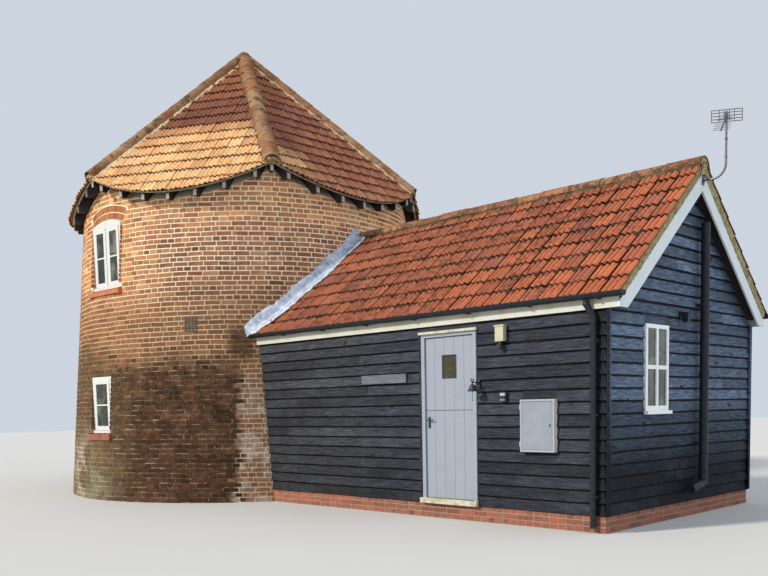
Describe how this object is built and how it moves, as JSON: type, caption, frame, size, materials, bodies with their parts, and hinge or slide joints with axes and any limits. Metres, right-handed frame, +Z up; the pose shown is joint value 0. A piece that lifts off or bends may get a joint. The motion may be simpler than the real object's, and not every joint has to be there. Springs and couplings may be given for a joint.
{
  "type": "oast house",
  "caption": "Round battered brick tower with a six-sided pantiled roof and a low black boarded wing with a pantiled gable roof and a white stable door.",
  "frame": {"origin": "axis of the round tower, on the ground", "axes": "+X along the wing towards its gable, -Y the side with the door, +Z up"},
  "size_m": [12.8041, 6.82, 8.1688],
  "materials": {
    "brick": "red handmade brick in lime mortar",
    "floor_screed": "trowelled screed",
    "floor_boards": "sawn boards",
    "tower_tiles": "weathered clay pantile",
    "rafter_wood": "sawn softwood, pale ends",
    "hip_tiles": "weathered clay, mortar bedded",
    "white_frame": "white paint",
    "window_glass": "clear",
    "sill_brick": "red bricks on edge",
    "black_iron": "black paint",
    "black_boards": "black stained softwood boards",
    "wing_tiles": "weathered clay pantile with moss",
    "ridge_tiles": "weathered clay with moss",
    "lead": "weathered sheet lead",
    "white_trim": "white paint",
    "black_plastic": "black, slightly glossy",
    "white_door": "white paint",
    "steel": "dulled",
    "white_plastic": "white moulded",
    "cream_plastic": "cream moulded",
    "grey_plastic": "dark grey moulded",
    "grey_wood": "bare weathered plank",
    "aluminium": "dull"
  },
  "bodies": {
    "root": {"tower_wall_front": "brick", "tower_wall_front_right": "brick", "tower_wall_inner": "brick", "tower_wall_back_right": "brick", "tower_wall_back": "brick", "tower_wall_back_left": "brick", "tower_wall_left": "brick", "tower_wall_front_left": "brick", "tower_ground_floor": "floor_screed", "tower_upper_floor": "floor_boards", "tower_roof_1": "tower_tiles", "tower_roof_2": "tower_tiles", "tower_roof_3": "tower_tiles", "tower_roof_4": "tower_tiles", "tower_roof_5": "tower_tiles", "tower_roof_6": "tower_tiles", "tower_rafters": "rafter_wood", "tower_hip_tiles": "hip_tiles", "tower_upper_window": "white_frame", "tower_lower_window": "white_frame", "tower_window_glass": "window_glass", "tower_window_sills": "sill_brick", "tower_vent_plate": "black_iron", "wing_plinth": "brick", "wing_floor": "floor_screed", "front_wall_left": "black_boards", "front_wall_right": "black_boards", "front_wall_over_door": "black_boards", "gable_wall": "black_boards", "back_wall": "black_boards", "wing_roof_front": "wing_tiles", "wing_roof_back": "wing_tiles", "wing_ridge_tiles": "ridge_tiles", "roof_flashing": "lead", "bargeboards": "white_trim", "fascias": "white_trim", "gutters": "black_plastic", "downpipes": "black_plastic", "corner_boards": "black_boards", "gable_window": "white_frame", "gable_window_glass": "window_glass", "door_frame": "white_trim", "door_hinges": "steel", "meter_box": "white_plastic", "security_light": "cream_plastic", "key_box": "grey_plastic", "sign_plank": "grey_wood", "bell_bracket": "black_iron", "bell": "black_iron", "gable_lamp": "black_plastic", "soil_pipe": "black_plastic", "aerial_mast": "aluminium", "aerial_head": "aluminium"},
    "lower_leaf": {"door_lower_leaf": "white_door", "door_handle_plate": "black_iron"},
    "upper_leaf": {"door_upper_leaf": "white_door", "door_pane": "window_glass"},
    "lever": {"door_lever": "steel"},
    "meter_door": {"meter_box_door": "white_plastic"}
  },
  "joints": [
    {"name": "lower_leaf_hinge", "type": "hinge", "parent": "root", "child": "lower_leaf", "pos_m": [6.9345, -1.777, 0.8], "axis": [0, 0, -1], "range_deg": [0, 90]},
    {"name": "upper_leaf_hinge", "type": "hinge", "parent": "root", "child": "upper_leaf", "pos_m": [6.9345, -1.777, 1.8], "axis": [0, 0, -1], "range_deg": [0, 90]},
    {"name": "lever_turn", "type": "hinge", "parent": "lower_leaf", "child": "lever", "pos_m": [6.186, -1.83, 1.268], "axis": [0, 1, 0], "range_deg": [0, 35]},
    {"name": "meter_door_hinge", "type": "hinge", "parent": "root", "child": "meter_door", "pos_m": [7.66, -1.894, 1.195], "axis": [0, 0, -1], "range_deg": [0, 110]}
  ]
}
